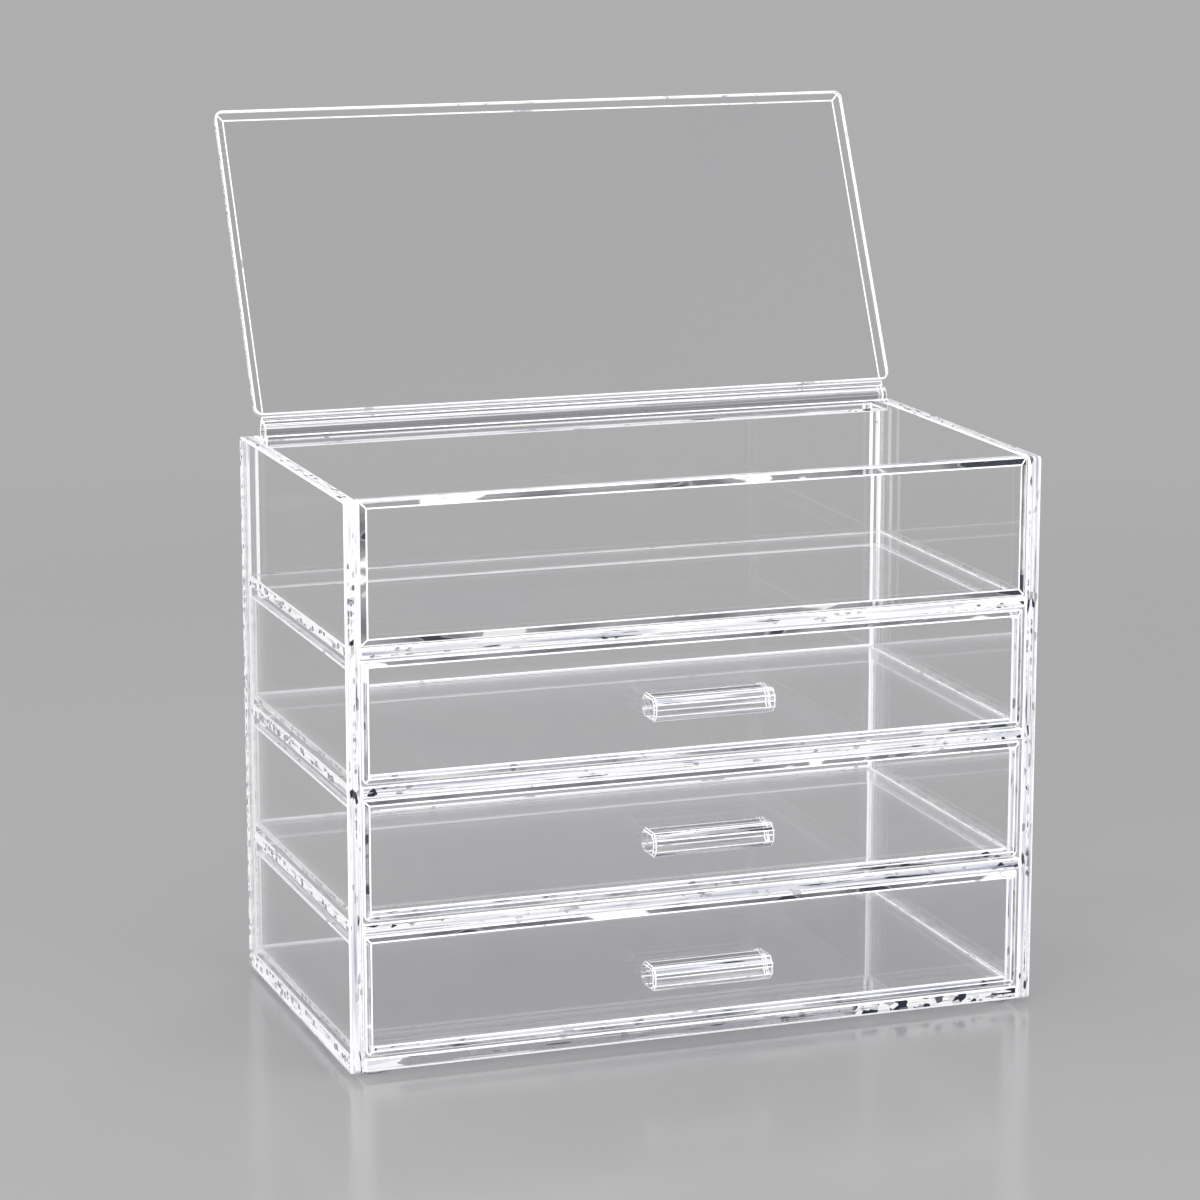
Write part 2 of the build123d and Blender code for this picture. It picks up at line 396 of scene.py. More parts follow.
def part_milky(tree, painted_light_share, shade, normal, glow, shadow, tint=None):
    """Ends a material that is clear in some places and painted with light in others.

    The share given is 1 where it is painted white with a painted glow that stands in for light
    in the edge, glow is that painted glow's level, shadow is the tint of light that passes,
    and tint is the tint of what is seen through the clear places.
    """
    finish = settings().finish
    clear = acrylic(tree, tint or finish.clear_tint, 0.03, normal)
    # Painted light: an opaque white that glows though it is no lamp, standing in for light in
    # the edge.
    milky = tree.node("ShaderNodeBsdfPrincipled", None,
                      {"Base Color": shade, "Roughness": 0.16, "Normal": normal,
                       "IOR": finish.index, "Emission Color": shade,
                       "Emission Strength": glow})
    surface = tree.node("ShaderNodeMixShader", None, {0: painted_light_share, 1: clear, 2: milky})
    let_lamps_through(tree, surface, shadow)


def streaks_across(tree, run, size, turn=0.0):
    """Noise in straight lines that hardly change along an edge. run scales along it."""
    return tree.noise(tree.place([share * share for share in run], turn), size, 1.5)


def streaky_edge(name, run, dashes, flecks, gathering=None, fleck_run=(1.0, 1.0, 1.0),
                 window=0.60, clearing=None, turn=0.0):
    """A polished edge painted as if filled with light: painted white with a painted glow,
    painted lavender, pearl and peach streaks of reflected light, and painted navy flecks
    and dashes of shade.

    run scales object coordinates along the edge, and fleck_run does for the small facets.
    dashes and flecks raise the share of the painted long dark dashes and of facets, gathering
    and clearing make the masks of where more facets and more clear streaks are, and streaks
    above the window level are clear, with a painted darker tint. turn leans it all about X.
    """
    finish, tree = new_finish(name)
    wandering = tree.place(run, turn)
    streak = (streaks_across(tree, run, finish.streak_width, turn) * 0.8
              + tree.noise(wandering, 1.6 * MM, 0.5) * 0.45 - 0.125)
    region = tree.noise(tree.place(turn=turn), finish.region_size, 1.0) * 0.35
    dash = (streaks_across(tree, run, finish.dash_width, turn) * 0.55
            + tree.noise(wandering, 0.75 * MM, 0.5) * 0.65 + region - 0.1)
    fleck = tree.cells(tree.place(fleck_run, turn), finish.facet_size) + region * 0.6
    if gathering:
        fleck = fleck - gathering(tree) * 0.13
    # Painted shade: the navy dashes and facets stand in for dark refraction in the edge.
    dark = (tree.fade(dash, 0.465 + dashes, 0.485 + dashes, 1.0, 0.0)
            | tree.fade(fleck, flecks - 0.06, flecks + 0.11, 1.0, 0.0))
    # Painted reflections and light: lavender and pearl streaks, white, and a peach glint.
    streaked = tree.node("ShaderNodeValToRGB",
                         {"stops": [(0.0, finish.lavender), (0.37, finish.lavender),
                                    (0.41, finish.pearl), (0.50, finish.pearl),
                                    (0.53, finish.milk), (0.61, finish.milk),
                                    (0.635, finish.peach), (0.66, finish.milk)]},
                         {"Fac": streak})
    if clearing:
        streak = streak + clearing(tree) * 0.2
    painted_light_share = tree.fade(streak, window, window + 0.03, 0.96, 0.12) | dark
    tint = tree.blend(tree.fade(streak, window, window + 0.1), finish.clear_tint,
                      finish.smoke)
    part_milky(tree, painted_light_share, tree.blend(dark, streaked, finish.navy),
               tree.bump(streak, finish.ripple), finish.edge_glow,
               shadow=(0.80, 0.80, 0.82), tint=tint)


def near_shelf(tree):
    """A mask of the level of each shelf, falling to 0 a little above and below it."""
    inner, outer, strength = 2 * MM, 7 * MM, 0.7
    lower, upper = (centre_of(node).z for node in ("lower_shelf", "upper_shelf"))
    height = tree.along(Z) - lower
    away = height.maths("PINGPONG", height, (upper - lower) / 2)
    return tree.fade(away, inner, outer, strength, 0.0)


def near_side(tree):
    """1 beside the cabinet's two sides, falling to 0 towards its middle."""
    inner, outer = 26 * MM, 6 * MM
    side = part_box("lower_shelf")[1].x
    return tree.fade(abs(tree.along(X)), side - inner, side - outer)


def side_edge():
    """A side panel's cut edge: long painted streaks of light, and painted dark facets where
    the shelves meet it.
    """
    streaky_edge("side_edge", (1.0, 0.05, 0.05), dashes=-0.01, flecks=0.10,
                 gathering=near_shelf, fleck_run=(1.2, 0.36, 0.36))


def front_edge():
    """An upright sheet's cut edge: long painted light streaks and long painted shade dashes."""
    streaky_edge("front_edge", (0.035, 1.0, 0.035), dashes=0.04, flecks=0.07,
                 fleck_run=(0.4, 1.0, 0.4))


def level_edge():
    """A level sheet's cut edge: long painted light streaks, a few painted shade dashes, and
    painted shade facets beside the sides.
    """
    streaky_edge("level_edge", (0.045, 0.045, 1.0), dashes=0.01, flecks=0.09,
                 gathering=near_side, fleck_run=(0.5, 0.5, 1.0))


def base_edge():
    """The base's cut edge: clear between painted white streaks of light, then painted shade
    facets towards one end.
    """
    streaky_edge("base_edge", (0.045, 0.045, 1.0), dashes=0.02, flecks=0.10,
                 gathering=faceted_end, fleck_run=(0.48, 0.48, 0.6), clearing=clear_run)


def faceted_end(tree):
    """A strong mask of the right end of the base's edge, 0 on the rest."""
    start, full, strength = 52 * MM, 68 * MM, 2.0
    return tree.fade(tree.along(X), start, full, 0.0, strength)


def clear_run(tree):
    """1 along the base's edge left of its faceted end, 0 towards its ends."""
    centre, inner, outer = -25 * MM, 78 * MM, 86 * MM
    return tree.fade(abs(tree.along(X) - centre), inner, outer, 1.0, 0.0)


def lid_edge():
    """The lid's cut edge, whose thickness leans back with it."""
    streaky_edge("lid_edge", (0.045, 0.045, 1.0), dashes=0.0, flecks=0.06, turn=SHUT_TURN)


def cemented_end():
    """A sheet's end against another sheet: painted white with a painted glow, with round
    bubbles in the cement drawn in painted shade.
    """
    finish, tree = new_finish("cemented_end")
    bubble = tree.dots(tree.place((1.0, 0.55, 0.75)), finish.bubble_spacing)
    shrink = tree.noise(tree.place(), 9 * MM, 1.0) * 0.30
    streak = (streaks_across(tree, (1.0, 0.08, 0.7), finish.streak_width) * 0.6
              + tree.noise(tree.place((1.0, 0.12, 0.5)), 1.4 * MM, 0.5) * 0.4)
    streaked = tree.blend(tree.fade(streak, 0.36, 0.43, 0.9, 0.0), finish.milk,
                          finish.lavender)
    # Painted shade: each bubble's navy rim and lavender heart stand for light bent away at the
    # bubble.
    rim = tree.fade(bubble + shrink, 0.50, 0.54, 1.0, 0.0)
    heart = tree.fade(bubble + shrink, 0.32, 0.42, 1.0, 0.0)
    shade = tree.blend(heart, tree.blend(rim, streaked, finish.navy), finish.lavender)
    painted_light_share = tree.fade(streak, 0.56, 0.60, 0.96, 0.30) | rim
    part_milky(tree, painted_light_share, shade, tree.bump(streak, finish.ripple), finish.joint_glow,
               shadow=(0.80, 0.80, 0.82))


def back_face():
    """The back panel's faces: clear, its front one with two painted bright lines of light,
    with a painted glow, at each joint.
    """
    finish, tree = new_finish("back_face")
    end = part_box("back_panel")[1].x
    reach = end - finish.cement_margin
    inner = reach + finish.margin_line
    outer = end - finish.margin_line
    soft = 0.12 * MM
    away = abs(tree.along(X))
    inner_line = tree.fade(away, reach, reach + soft) * tree.fade(away, inner, inner + soft,
                                                                  1.0, 0.0)
    # Painted light: two white lines beside each joint, with a painted glow.
    lines = inner_line | tree.fade(away, outer, outer + soft)
    middle_y = centre_of("back_panel").y
    front = tree.fade(tree.along(Y), middle_y - soft, middle_y, 1.0, 0.0)
    streak = tree.noise(tree.place((1.0, 1.0, 0.05)), finish.streak_width, 1.5)
    painted_light_share = lines * front * tree.fade(streak, 0.62, 0.66, 0.97, 0.35)
    part_milky(tree, painted_light_share, finish.milk, tree.bump(streak, finish.ripple * 0.1),
               finish.joint_glow, shadow=(0.90, 0.90, 0.91))


def bevel_face():
    """A front's bevel: painted darker than its pane, with painted white patches of light and
    painted navy patches of shade along it.
    """
    finish, tree = new_finish("bevel_face")
    patch = tree.noise(tree.place((0.3, 1.0, 0.6)), finish.patch_size, 2.0)
    dark = tree.fade(patch, 0.34, 0.38, 1.0, 0.0)
    shade = tree.blend(dark, finish.milk, finish.navy)
    tint = tree.blend(tree.fade(patch, 0.40, 0.60), finish.dusk, finish.smoke)
    painted_light_share = tree.fade(patch, 0.62, 0.65, 0.0, 0.9) | dark * 0.85
    part_milky(tree, painted_light_share, shade, tree.bump(patch, finish.ripple * 0.1),
               finish.edge_glow, shadow=(0.85, 0.85, 0.87), tint=tint)


def eased_edge():
    """The narrow eased line along an edge: a painted highlight, white with a painted glow."""
    finish, tree = new_finish("eased_edge")
    broken = tree.noise(tree.place(), 9 * MM, 2.0, 0.5)
    shade = tree.blend(tree.fade(broken, 0.28, 0.33, 0.8, 0.0), finish.milk,
                       finish.lavender)
    part_milky(tree, tree.fade(broken, 0.30, 0.36, 0.7, 0.98), shade,
               tree.bump(broken, 0.01 * MM), finish.line_glow, shadow=(0.70, 0.70, 0.72))


def polished_bar():
    """A bar's flat facets: clear, with a few painted streaks along them, of white light,
    lavender reflection and darker shade.
    """
    finish, tree = new_finish("polished_bar")
    streak = tree.noise(tree.place((0.035, 1.0, 1.0)), 1.7 * MM, 1.0, 0.1)
    shade = tree.blend(tree.fade(streak, 0.34, 0.38, 0.9, 0.0), finish.milk,
                       finish.lavender)
    painted_light_share = (tree.fade(streak, 0.68, 0.72, 0.0, 0.8)
                 | tree.fade(streak, 0.32, 0.36, 0.6, 0.0))
    tint = tree.blend(tree.fade(streak, 0.42, 0.54), finish.haze, finish.clear_tint)
    part_milky(tree, painted_light_share, shade, tree.bump(streak, finish.ripple * 0.1), glow=0.0,
               shadow=(0.88, 0.88, 0.90), tint=tint)


def hinge_bar():
    """The hinge's long bars: clear, with hardly a streak; the few white streaks, with a
    painted glow, are painted light, and the darker streaks painted shade.
    """
    finish, tree = new_finish("hinge_bar")
    streak = streaks_across(tree, (0.03, 1.0, 1.0), 1.4 * MM)
    tint = tree.blend(tree.fade(streak, 0.42, 0.50), finish.smoke, finish.clear_tint)
    part_milky(tree, tree.fade(streak, 0.64, 0.67, 0.0, 0.9), finish.milk,
               tree.bump(streak, finish.ripple * 0.05), finish.edge_glow,
               shadow=(0.92, 0.92, 0.93), tint=tint)


def lit_facet():
    """A handle's two front chamfers: painted white as if filled with light, with painted dark
    dashes of shade along them.
    """
    streaky_edge("lit_facet", (0.05, 1.0, 1.0), dashes=0.03, flecks=0.02, window=0.50)


def foot_silicone():
    """Soft milky silicone."""
    finish, tree = new_finish("foot_silicone")
    place = tree.place()
    cloud = tree.noise(place, 2.5 * MM, 3.0)
    base = tree.blend(cloud, finish.silicone, finish.silicone_cloud)
    surface = tree.node("ShaderNodeBsdfPrincipled", None,
                        {"Base Color": base, "Roughness": 0.28 + cloud * 0.2,
                         "IOR": 1.42, "Transmission Weight": 0.12,
                         "Normal": tree.bump(tree.noise(place, 0.8 * MM), 0.01 * MM)})
    tree.node("ShaderNodeOutputMaterial", None, {"Surface": surface})


def finish_of(maker):
    """The material that one of these functions makes and names after itself, made once."""
    if maker.__name__ not in bpy.data.materials:
        maker()
    return bpy.data.materials[maker.__name__]


# ---- modelling ------------------------------------------------------------------------
def add_piece(node, suffix, bm, finishes):
    """Makes a finished object that stands for a node and rides on its body.

    finishes are the functions that make its materials, slot by slot.
    """
    bmesh.ops.recalc_face_normals(bm, faces=bm.faces)
    mesh = bpy.data.meshes.new(f"{node}_{suffix}")
    bm.to_mesh(mesh)
    bm.free()
    for maker in finishes:
        mesh.materials.append(finish_of(maker))
    piece = bpy.data.objects.new(f"{node}_{suffix}", mesh)
    bpy.context.scene.collection.objects.link(piece)
    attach(piece, frame["nodes"][node]["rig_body"])
    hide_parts(node)


def centre_of(node):
    """The middle of a node's box."""
    return sum(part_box(node), Vector()) / 2


def inset(low, high):
    """A box's corners with the joint gap taken off all round."""
    gap = Vector((settings().edge.joint_gap,) * 3)
    return low + gap, high - gap


def block(low, high):
    """A mesh box between two corners."""
    bm = bmesh.new()
    size = Matrix.Diagonal((*(high - low), 1.0))
    bmesh.ops.create_cube(bm, size=1.0, matrix=Matrix.Translation((low + high) / 2) @ size)
    return bm


def runs_along(edge, axis):
    """True if an edge runs along this axis."""
    run = (edge.verts[1].co - edge.verts[0].co).normalized()
    return abs(run[axis]) > SQUARE


def middle(edge):
    """The middle of an edge."""
    return (edge.verts[0].co + edge.verts[1].co) / 2


def bevel_edges(bm, edges, width, segments):
    """Bevels edges and returns the new faces."""
    made = bmesh.ops.bevel(bm, geom=edges, offset=width, offset_type="OFFSET",
                           segments=segments, profile=0.5, affect="EDGES", material=-1,
                           clamp_overlap=False)
    return made["faces"]


def round_edges(bm, edges, radius):
    """Rounds edges and shades the new faces smooth."""
    for face in bevel_edges(bm, edges, radius, settings().edge.round_segments):
        face.smooth = True


def ease(bm, edges, width):
    """Bevels edges as narrow lines with a finish of their own, a painted highlight line."""
    for face in bevel_edges(bm, edges, width, settings().edge.eased_segments):
        face.smooth = True
        face.material_index = EASED


def ease_bar(bm, width):
    """Eases every edge of a bar that turns by more than a few degrees."""
    bm.normal_update()
    ease(bm, [edge for edge in bm.edges if edge.calc_face_angle(0.0) > SLIGHT_TURN], width)


def ease_sheet(bm):
    """Eases a sheet's edges, then the creases of its bevel."""
    edge_settings = settings().edge
    bm.normal_update()
    square = [edge for edge in bm.edges if edge.calc_face_angle(0.0) > SQUARE_TURN]
    ease(bm, square, edge_settings.eased_width)
    bm.normal_update()
    creases = [edge for edge in bm.edges
               if edge.calc_face_angle(0.0) > SLIGHT_TURN
               and all(face.material_index in (FACE, BEVEL) for face in edge.link_faces)]
    if creases:
        ease(bm, creases, edge_settings.crease_width)


def mark_faces(bm, axis):
    """Marks a sheet's broad faces, cut edges, rounded lower edges, and ends at a joint."""
    bm.normal_update()
    for face in bm.faces:
        is_end = abs(face.normal.x) > SQUARE if axis == Z else face.normal.y > SQUARE
        if abs(face.normal[axis]) > BROAD:
            face.material_index = FACE
        # A sheet's rounded lower edge takes the eased slot, a painted highlight line.
        elif axis == Z and -BROAD < face.normal.z < -LEANING:
            face.material_index = EASED
        elif axis != Y and is_end:
            face.material_index = END
        else:
            face.material_index = CUT


def make_sheet(node, axis, is_rounded=None, radius=0.0, face=sheet_face, cut=None):
    """A plain sheet in a node's place, thin along this axis, with some edges rounded."""
    bm = block(*inset(*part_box(node)))
    if is_rounded:
        round_edges(bm, [edge for edge in bm.edges if is_rounded(edge)], radius)
    mark_faces(bm, axis)
    ease_sheet(bm)
    cut = cut or (side_edge, front_edge, level_edge)[axis]
    add_piece(node, "acrylic", bm, (face, cut, eased_edge, cemented_end))


def cut_slope(bm, edge_point, rise):
    """Cuts the slope of a bevel. The plate's bevelled face looks along +Z.

    edge_point is a point on the slope's lower line, and rise points from there, square to
    that line, to its upper one.
    """
    outward = Vector((rise.x, rise.y, 0.0)) * -1
    normal = Vector((outward.x * rise.z, outward.y * rise.z, outward.length_squared))
    normal.normalize()
    made = bmesh.ops.bisect_plane(bm, geom=bm.verts[:] + bm.edges[:] + bm.faces[:],
                                  dist=1e-7, plane_co=edge_point, plane_no=normal,
                                  clear_outer=True)
    rim = [part for part in made["geom_cut"] if isinstance(part, bmesh.types.BMEdge)]
    bmesh.ops.holes_fill(bm, edges=rim)


def bevelled_plate(size, bevel_width, bevel_depth, is_rounded, radius, sides):
    """A plate centred on the origin, bevelled along some sides of its +Z face."""
    half = size / 2
    bm = block(-half, half)
    corners = [edge for edge in bm.edges if runs_along(edge, Z) and is_rounded(edge)]
    if corners:
        round_edges(bm, corners, radius)
    for side in sides:
        out = Vector((side[0], side[1], 0.0))
        foot = Vector((out.x * half.x, out.y * half.y, half.z - bevel_depth))
        cut_slope(bm, foot, out * -bevel_width + Vector((0, 0, bevel_depth)))
    mark_faces(bm, Z)
    for face in bm.faces:
        is_bevel = BROAD < face.normal.z < SQUARE
        face.material_index = BEVEL if is_bevel else min(face.material_index, CUT)
    ease_sheet(bm)
    return bm


def make_front(node, bevel_width, bevel_depth, radius):
    """An upright front, bevelled all round towards -Y, with lower corners rounded."""
    low, high = inset(*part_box(node))
    width, depth, height = high - low
    bm = bevelled_plate(Vector((width, height, depth)), bevel_width, bevel_depth,
                        lambda edge: radius > 0 and middle(edge).y < 0, radius, ALL_SIDES)
    place = Matrix.Translation((low + high) / 2) @ Matrix.Rotation(math.radians(90), 4, "X")
    bmesh.ops.transform(bm, matrix=place, verts=bm.verts)
    add_piece(node, "acrylic", bm, (sheet_face, front_edge, eased_edge, bevel_face))


def about_hinge(turn):
    """A turn about the lid's hinge axis."""
    return (Matrix.Translation(HINGE_CENTRE) @ Matrix.Rotation(turn, 4, "X")
            @ Matrix.Translation(-HINGE_CENTRE))


def shut_box(node):
    """A lid node's box while the lid is shut, with the joint gap taken off."""
    turned = [about_hinge(SHUT_TURN) @ v.co for v in frame["nodes"][node].data.vertices]
    low = Vector([min(point[axis] for point in turned) for axis in (X, Y, Z)])
    high = Vector([max(point[axis] for point in turned) for axis in (X, Y, Z)])
    return inset(low, high)


def start_outline(x, across, up):
    """A bmesh with one vertex, placed from the hinge axis."""
    bm = bmesh.new()
    start = bm.verts.new((x, HINGE_CENTRE.y + across, HINGE_CENTRE.z + up))
    return bm, start


def line_to(bm, start, across, up):
    """Draws a line to a point given from the hinge axis."""
    end = bm.verts.new((start.co.x, HINGE_CENTRE.y + across, HINGE_CENTRE.z + up))
    bm.edges.new((start, end))
    return end


def arc_from(bm, start, turn):
    """Spins a vertex about the hinge axis and returns the arc's last vertex."""
    steps = max(2, round(abs(turn) / (2 * math.pi) * settings().hinge.arc_steps))
    made = bmesh.ops.spin(bm, geom=[start], cent=HINGE_CENTRE, axis=(1, 0, 0), angle=turn,
                          steps=steps, use_duplicate=False)
    return next(part for part in made["geom_last"] if isinstance(part, bmesh.types.BMVert))


def extrude_outline(bm, last, first, run):
    """Closes an outline, fills it and extrudes it along X."""
    bm.edges.new((last, first))
    bmesh.ops.contextual_create(bm, geom=bm.edges[:])
    made = bmesh.ops.extrude_face_region(bm, geom=bm.faces[:])
    moved = [part for part in made["geom"] if isinstance(part, bmesh.types.BMVert)]
    bmesh.ops.translate(bm, verts=moved, vec=(run, 0, 0))
    bm.normal_update()
    for face in bm.faces:
        face.smooth = len(face.verts) == 4
    for edge in bm.edges:
        edge.smooth = edge.calc_face_angle(0.0) < SLIGHT_TURN


# ---- operators ------------------------------------------------------------------------
class DRAWER_BOX_OT_make_cabinet(bpy.types.Operator):
    """Makes the cabinet's plain sheets: two sides, base, back, shelves and tray floor"""

    bl_idname = "drawer_box.make_cabinet"
    bl_label = "Make cabinet sheets"

    def execute(self, context):
        radius = settings().panel.cabinet_radius
        for node in ("left_side_panel", "right_side_panel"):
            make_sheet(node, X, lambda edge: runs_along(edge, X), radius)
        base_middle = centre_of("base_panel").z
        make_sheet("base_panel", Z,
                   lambda edge: runs_along(edge, X) and middle(edge).z < base_middle, radius,
                   cut=base_edge)
        make_sheet("back_panel", Y, face=back_face)
        for node in ("lower_shelf", "upper_shelf", "tray_floor"):
            make_sheet(node, Z)
        return {"FINISHED"}


class DRAWER_BOX_OT_make_fronts(bpy.types.Operator):
    """Makes the bevelled fronts of the tray and of the drawers"""

    bl_idname = "drawer_box.make_fronts"
    bl_label = "Make bevelled fronts"

    def execute(self, context):
        panel = settings().panel
        make_front("tray_front_panel", panel.tray_bevel_width, panel.tray_bevel_depth, 0.0)
        for name in DRAWERS:
            make_front(f"{name}_drawer_front", panel.drawer_bevel_width,
                       panel.drawer_bevel_depth, panel.drawer_radius)
        return {"FINISHED"}


class DRAWER_BOX_OT_make_drawers(bpy.types.Operator):
    """Makes the walls and floors of the drawers"""

    bl_idname = "drawer_box.make_drawers"
    bl_label = "Make drawer boxes"

    def execute(self, context):
        radius = settings().panel.drawer_radius
        for name in DRAWERS:
            for side, sign in (("left", -1), ("right", 1)):
                node = f"{name}_drawer_{side}_wall"
                centre = centre_of(node)
                make_sheet(node, X, lambda edge: (runs_along(edge, Y)
                                                  and middle(edge).z < centre.z
                                                  and sign * (middle(edge).x - centre.x) > 0),
                           radius)
            make_sheet(f"{name}_drawer_back_wall", Y)
            make_sheet(f"{name}_drawer_floor", Z)
        return {"FINISHED"}


class DRAWER_BOX_OT_make_handles(bpy.types.Operator):
    """Makes the eight-sided handles"""

    bl_idname = "drawer_box.make_handles"
    bl_label = "Make handles"

    def execute(self, context):
        handle = settings().handle
        for name in DRAWERS:
            node = f"{name}_drawer_handle"
            bm = block(*inset(*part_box(node)))
            bevel_edges(bm, [edge for edge in bm.edges if runs_along(edge, X)],
                        handle.chamfer, 1)
            # The two front chamfers take the second slot, lit_facet, which is painted light.
            for face in bm.faces:
                is_chamfer = face.normal.y < -LEANING and abs(face.normal.z) > LEANING
                face.material_index = CUT if is_chamfer else FACE
            ends = [face for face in bm.faces if abs(face.normal.x) > SQUARE]
            rims = {edge for face in ends for edge in face.edges}
            bevel_edges(bm, list(rims), handle.end_bevel, 1)
            ease_bar(bm, handle.eased_width)
            add_piece(node, "acrylic", bm, (polished_bar, lit_facet, eased_edge))
        return {"FINISHED"}


class DRAWER_BOX_OT_make_lid(bpy.types.Operator):
    """Makes the round-cornered bevelled lid, leaning back"""

    bl_idname = "drawer_box.make_lid"
    bl_label = "Make lid"

    def execute(self, context):
        panel = settings().panel
        low, high = shut_box("lid_panel")
        bm = bevelled_plate(high - low, panel.lid_bevel_width, panel.lid_bevel_depth,
                            lambda edge: True, panel.lid_radius, ALL_SIDES[:3])
        place = about_hinge(-SHUT_TURN) @ Matrix.Translation((low + high) / 2)
        bmesh.ops.transform(bm, matrix=place, verts=bm.verts)
        add_piece("lid_panel", "acrylic", bm, (sheet_face, lid_edge, eased_edge, sheet_face))
        return {"FINISHED"}


class DRAWER_BOX_OT_make_hinge(bpy.types.Operator):
    """Makes the hinge: the grooved strip on the back and the rod that snaps into it"""

    bl_idname = "drawer_box.make_hinge"
    bl_label = "Make hinge"

    def execute(self, context):
        self.make_strip()
        self.make_rod()
        return {"FINISHED"}

    def make_strip(self):
        """Draws the strip's section from its back lip round to its front one."""
        hinge = settings().hinge
        gap = settings().edge.joint_gap
        low, high = inset(*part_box("hinge_socket_strip"))
        bore = hinge.rod_radius + hinge.bore_gap
        outer = bore + hinge.socket_wall - gap
        lip = hinge.neck_thickness / 2 + hinge.neck_gap
        lean = math.pi - SHUT_TURN
        outer_turn = lean - math.asin(lip / outer)
        bore_turn = lean - math.asin(lip / bore)
        front_turn = math.pi + math.asin(lip / bore)
        under = low.z - HINGE_CENTRE.z
        bm, first = start_outline(low.x, outer * math.cos(outer_turn),
                                  outer * math.sin(outer_turn))
        last = arc_from(bm, first, -outer_turn)
        last = line_to(bm, last, outer, under)
        last = line_to(bm, last, -outer, under)
        last = line_to(bm, last, -outer, under + hinge.lit_height)
        last = line_to(bm, last, -outer, -lip)
        last = line_to(bm, last, bore * math.cos(front_turn), -lip)
        last = arc_from(bm, last, bore_turn + 2 * math.pi - front_turn)
        extrude_outline(bm, last, first, high.x - low.x)
        # The front's foot takes the second slot, level_edge, which is painted light and shade.
        lit_top = low.z + hinge.lit_height
        for face in bm.faces:
            is_lit = face.normal.y < -SQUARE and face.calc_center_median().z < lit_top
            face.material_index = CUT if is_lit else FACE
        ease_bar(bm, hinge.eased_width)
        add_piece("hinge_socket_strip", "acrylic", bm, (hinge_bar, level_edge, eased_edge))

    def make_rod(self):
        """Draws the shut rod's section round from its neck, and leans it back."""
        hinge = settings().hinge
        low, high = shut_box("lid_hinge_rod")
        neck = hinge.neck_thickness / 2
        neck_turn = math.asin(neck / hinge.rod_radius)
        reach = low.y - HINGE_CENTRE.y
        bm, first = start_outline(low.x, reach, -neck)
        last = line_to(bm, first, -hinge.rod_radius * math.cos(neck_turn), -neck)
        last = arc_from(bm, last, 2 * (math.pi - neck_turn))
        last = line_to(bm, last, reach, neck)
        extrude_outline(bm, last, first, high.x - low.x)
        ease_bar(bm, hinge.eased_width)
        bmesh.ops.transform(bm, matrix=about_hinge(-SHUT_TURN), verts=bm.verts)
        add_piece("lid_hinge_rod", "acrylic", bm, (hinge_bar, hinge_bar, eased_edge))


class DRAWER_BOX_OT_make_feet(bpy.types.Operator):
    """Makes the four stick-on silicone feet"""

    bl_idname = "drawer_box.make_feet"
    bl_label = "Make feet"

    def execute(self, context):
        foot = settings().foot
        for end in ("front", "back"):
            for side in ("left", "right"):
                node = f"{end}_{side}_foot"
                low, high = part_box(node)
                high = high - Vector((0, 0, settings().edge.joint_gap))
                bm = bmesh.new()
                bmesh.ops.create_cone(bm, cap_ends=True, segments=foot.steps,
                                      radius1=foot.tread_radius,
                                      radius2=(high.x - low.x) / 2, depth=high.z - low.z,
                                      matrix=Matrix.Translation((low + high) / 2))
                for height, width in ((low.z, foot.tread_rounding),
                                      (high.z, foot.rim_rounding)):
                    rim = [edge for edge in bm.edges
                           if all(abs(v.co.z - height) < 1e-6 for v in edge.verts)]
                    bevel_edges(bm, rim, width, foot.rim_segments)
                for face in bm.faces:
                    face.smooth = len(face.verts) == 4
                add_piece(node, "silicone", bm, (foot_silicone,))
        return {"FINISHED"}


